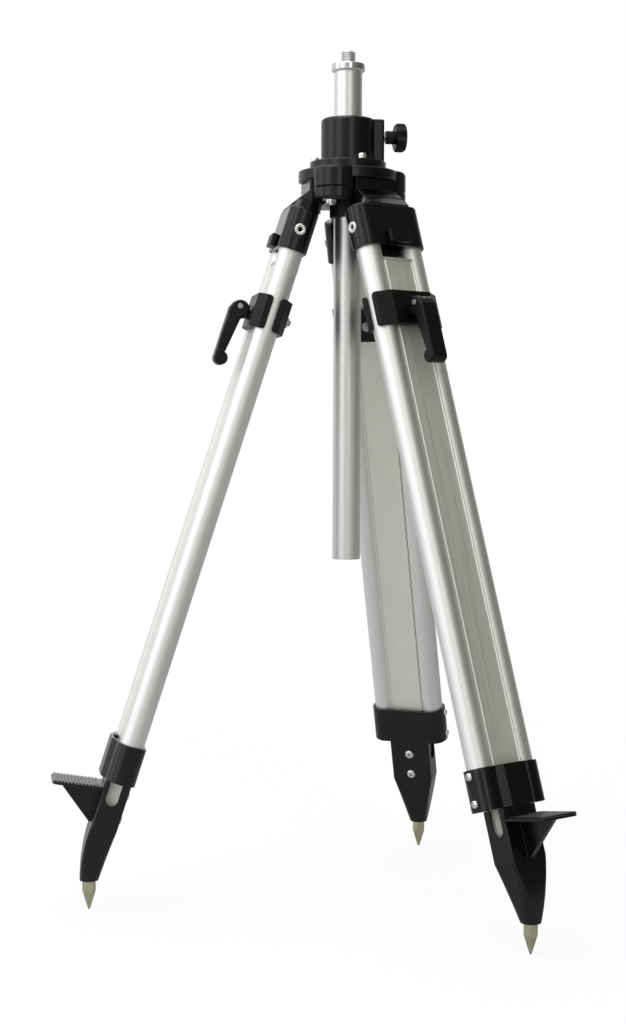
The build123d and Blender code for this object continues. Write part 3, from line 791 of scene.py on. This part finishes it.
repeated_piece("knob_hub_ridges", hub_ridge, hub_spots, "knob", black_moulding)


# Legs

def eyelet_pattern():
    """Rolled flange of an eyelet, standing on the socket's side with its barrel below."""
    rows = [(2.95, -2.6), (2.95, -1.0), (5.9, -1.0), (5.95, 0.7), (5.75, 1.1), (5.3, 1.3), (3.3, 1.3),
            (2.7, 1.1), (2.35, 0.6), (2.25, -0.2), (2.25, -2.6)]
    return meshed("eyelet", [turned(rows, hollow=True)], soft_crease)


def drilled(mesh, spots, radius, depth):
    """The mesh with a round hole at every spot, along the way that the spot faces."""
    drills = []
    for place, facing in spots:
        turn = facing.to_track_quat("Z", "Y").to_matrix().to_4x4()
        drills.append(skin([ring(radius, -depth), ring(radius, depth)], Matrix.Translation(place) @ turn))
    blank = new_object(mesh.name + "_blank", mesh)
    drill = new_object(mesh.name + "_drill", meshed(mesh.name + "_drill", drills))
    cut = blank.modifiers.new("holes", "BOOLEAN")
    cut.operation = "DIFFERENCE"
    cut.object = drill
    holed = plain_mesh(blank)
    bpy.data.objects.remove(blank)
    bpy.data.objects.remove(drill)
    shade(holed)
    return holed


def dome_screw():
    """Domed head screw with a cross recess, its head standing on Z = 0."""
    rows = [(2.0, -2.9), (2.0, 0.0), (3.85, 0.0), (4.0, 0.3), (3.85, 1.1), (3.3, 1.85), (2.6, 2.25),
            (2.05, 2.38, "cross"), (1.7, 1.0, "cross"), (0.3, 0.8)]
    return meshed("dome_screw", [turned(rows)])


def button_screw():
    """Button head screw with a hexagon socket, its head standing on Z = 0."""
    rows = [(2.5, -5.0), (2.5, 0.0), (5.2, 0.0), (5.3, 0.4), (5.2, 1.5), (4.7, 2.5), (3.9, 3.15),
            (2.6, 3.4), (1.75, 3.3, "hexagon"), (1.7, -2.6, "hexagon"), (0.4, -2.9)]
    return meshed("button_screw", [turned(rows)])


def pedal_ribs(name, place):
    """Raised treads across the top of a pedal."""
    mesh = grown(name, rib_row, {
        "Count": tread_count, "Start": (tread_start, 0, 0), "Pitch": (tread_pitch, 0, 0),
        "Half Length": (0, tread_half_length, 0), "Back Half Length": (0, -tread_half_length, 0),
        "Thickness": tread_radius, "Finish": casting_paint})
    mesh.transform(place)
    shade(mesh, soft_crease)
    return mesh


for leg, angle in legs.items():
    place = leg_place(angle)
    turn = place.to_3x3()
    across = turn @ Vector((0, 1, 0))
    outward = turn @ Vector((1, 0, 0))
    upper = f"{leg}_leg"
    lower = f"{leg}_lower_leg"

    sides = [place @ Matrix.Translation((0, side * tube_place, 0)) for side in (-1, 1)]
    tubes = [pipe(tube_radius, tube_wall, -tube_end, -tube_start, side) for side in sides]
    eyelet_spots = [(place @ Vector((0, side * casting_half_width, -eyelet_down)), side * across)
                    for side in (-1, 1)]
    tube_mesh = drilled(meshed(f"{leg}_leg_tubes_piece", tubes), eyelet_spots,
                        eyelet_hole_radius, eyelet_hole_depth)
    piece(f"{leg}_leg_tubes_piece", tube_mesh, upper, tube_finishes[leg],
          [f"{leg}_leg_tubes"])
    eased(f"{leg}_yoke", upper, casting_paint, edge=0.5,
          left_sharp=[spot for spot, _ in eyelet_spots])
    eased(f"{leg}_bottom_bracket", upper, casting_paint, edge=0.5)
    eased(f"{leg}_top_buffer", upper, black_moulding, edge=0.5)
    repeated_piece(f"{leg}_socket_eyelets_piece", eyelet_pattern(), eyelet_spots, upper,
                   eyelet_plating, [f"{leg}_socket_eyelets"])
    side_spots = [(place @ Vector((0, -casting_half_width, -bracket_start - margin)), -across)
                  for margin in bracket_screw_margins]
    repeated_piece(f"{leg}_bracket_screws_piece", dome_screw(), side_spots, upper,
                   plating, [f"{leg}_bracket_screws"], spin=0.5)

    eased(f"{leg}_slide_bar", lower, bar_finishes[leg], edge=0.25)
    eased(f"{leg}_bar_end_cap", lower, nylon, edge=0.2)
    eased(f"{leg}_outer_jaw", lower, black_moulding, edge=0.6)
    eased(f"{leg}_inner_jaw", lower, black_moulding, edge=0.6)
    eased(f"{leg}_clamp_bolt", lower, dull_plating, edge=0.25)
    eased(f"{leg}_lever_pin", lower, dull_plating, edge=0.4)
    eased(f"{leg}_foot", lower, casting_paint, edge=0.5)
    eased(f"{leg}_spike", lower, zinc, edge=0.25)
    inner_spots = [(place @ Vector((-foot_half_thickness, 0, -foot_start - drop)), -outward)
                   for drop in foot_screw_drops]
    repeated_piece(f"{leg}_foot_screws_piece", button_screw(), inner_spots, lower,
                   plating, [f"{leg}_foot_screws"], spin=0.25)
    piece(f"{leg}_pedal_ribs", pedal_ribs(f"{leg}_pedal_ribs", pedal_place(angle)), lower,
          casting_paint)
    eased(f"{leg}_clamp_lever", f"{leg}_lever", black_moulding, edge=0.4)


# Floor, light and camera

def white_floor():
    """Plain floor, seen white, that keeps the shadows of the object."""
    finish = bpy.data.materials.new("white_floor")
    finish.use_nodes = True
    tree = Tree(finish.node_tree)
    tree.nodes.clear()
    place = tree.node("ShaderNodeTexCoord", None, None, "Object")
    cloud = tree.noise(place, scale=3, detail=2, roughness=0.5)
    across, along = tree.parts(place)[:2]
    far = ((across * across + along * along) ** 0.5).step(*floor_fade)
    right = (across * math.cos(camera_turn) - along * math.sin(camera_turn)).step(*floor_shade)
    camera_ray, mirrored = tree.rays()
    pale = tree.blend(cloud, grey(0.91), grey(0.93))
    paper = tree.node("ShaderNodeBsdfDiffuse", None, {"Color": tree.blend(camera_ray, grey(0.36), pale)})
    glow = tree.node("ShaderNodeEmission", None, {"Color": grey(1.0), "Strength": 1.0})
    seen_white = 0.88 + 0.12 * far
    mirrored_white = 0.32 - 0.29 * right
    white = seen_white * camera_ray + mirrored_white * mirrored
    mixed = tree.node("ShaderNodeMixShader", None, {0: white, 1: paper, 2: glow})
    tree.node("ShaderNodeOutputMaterial", None, {"Surface": mixed})
    return finish


floor = bmesh.new()
bmesh.ops.create_grid(floor, x_segments=1, y_segments=1, size=floor_half_size)
bmesh.ops.translate(floor, verts=floor.verts, vec=(0, 0, floor_height))
floor_mesh = bpy.data.meshes.new("floor")
floor.to_mesh(floor_mesh)
floor.free()
floor_mesh.materials.append(white_floor())
new_object("floor", floor_mesh)


def studio_light():
    """Studio, seen plain white, with a bright left side, a glow overhead and tall soft strips of light."""
    world = bpy.data.worlds.new("studio")
    bpy.context.scene.world = world
    world.use_nodes = True
    tree = Tree(world.node_tree)
    tree.nodes.clear()
    way = tree.node("ShaderNodeTexCoord", None, None, "Generated")
    across, along, height = tree.parts(way)
    level = (across * across + along * along).at_least(1e-6) ** 0.5

    def facing(degrees):
        """How nearly a direction points to an angle, measured to the right of the camera."""
        angle = math.radians(degrees) - camera_turn
        return (across * math.sin(angle) - along * math.cos(angle)) / level

    def strip(degrees, half_width):
        """1 inside a strip at an angle, with soft edges. Both sizes are in degrees."""
        inner = math.cos(math.radians(half_width * (1 - strip_softness)))
        outer = math.cos(math.radians(half_width * (1 + strip_softness)))
        return facing(degrees).step(outer, inner)

    left, right, behind = facing(-90), facing(90).at_least(0.0), facing(180).at_least(0.0)
    side = 0.46 + 0.27 * left - 0.09 * right + 0.28 * behind ** 2
    strips = sum(strength * strip(degrees, half_width) for strength, degrees, half_width in light_strips)
    tall = height.step(0.0, 0.1) * (1 - height.step(0.6, 0.85))
    overhead = height.step(0.5, 0.9) * (0.54 + 0.54 * level * left)
    warm, cool = (1.0, 0.99, 0.9, 1), (0.99, 1.0, 1.01, 1)
    tone = tree.blend(left.step(-0.7, 0.5), warm, cool)
    studio = tree.node("ShaderNodeBackground", None, {
        "Color": tone, "Strength": side + strips * tall + overhead})
    backdrop = tree.node("ShaderNodeBackground", None, {"Color": grey(1.0), "Strength": 1.0})
    camera_ray, mirrored = tree.rays()
    white = camera_ray + mirrored * facing(180).step(0.85, 0.97)
    mixed = tree.node("ShaderNodeMixShader", None, {0: white, 1: studio, 2: backdrop})
    tree.node("ShaderNodeOutputWorld", None, {"Surface": mixed})


studio_light()

lamp = bpy.data.lights.new("overhead_softbox", "AREA")
lamp.shape = "DISK"
lamp.size = 1.6
lamp.energy = 14
softbox = new_object("overhead_softbox", lamp)
softbox.location = (-0.5, -0.4, 1.6)
softbox.rotation_euler = (softbox.location - lamp_aim).to_track_quat("Z", "Y").to_euler()


def photo_camera():
    """Camera at the photograph's viewpoint. Its pitch, yaw and roll are in radians."""
    pitch, yaw, roll = 0.0432, -0.0181, 0.0037
    forward = Vector((math.sin(yaw) * math.cos(pitch), math.cos(yaw) * math.cos(pitch), -math.sin(pitch)))
    right = Vector((math.cos(yaw), -math.sin(yaw), 0))
    upright = right.cross(forward)
    level_right = math.cos(roll) * right + math.sin(roll) * upright
    level_up = math.cos(roll) * upright - math.sin(roll) * right
    turn = Matrix((level_right, level_up, -forward)).transposed()
    data = bpy.data.cameras.new("camera")
    data.sensor_width = 36
    data.lens = 64.89
    data.clip_end = 100
    camera = new_object("camera", data)
    camera.matrix_world = (Matrix.Translation(camera_place)
                           @ Matrix.Rotation(-camera_turn, 4, "Z") @ turn.to_4x4())
    bpy.context.scene.camera = camera


photo_camera()
bpy.context.scene.view_settings.view_transform = "Standard"
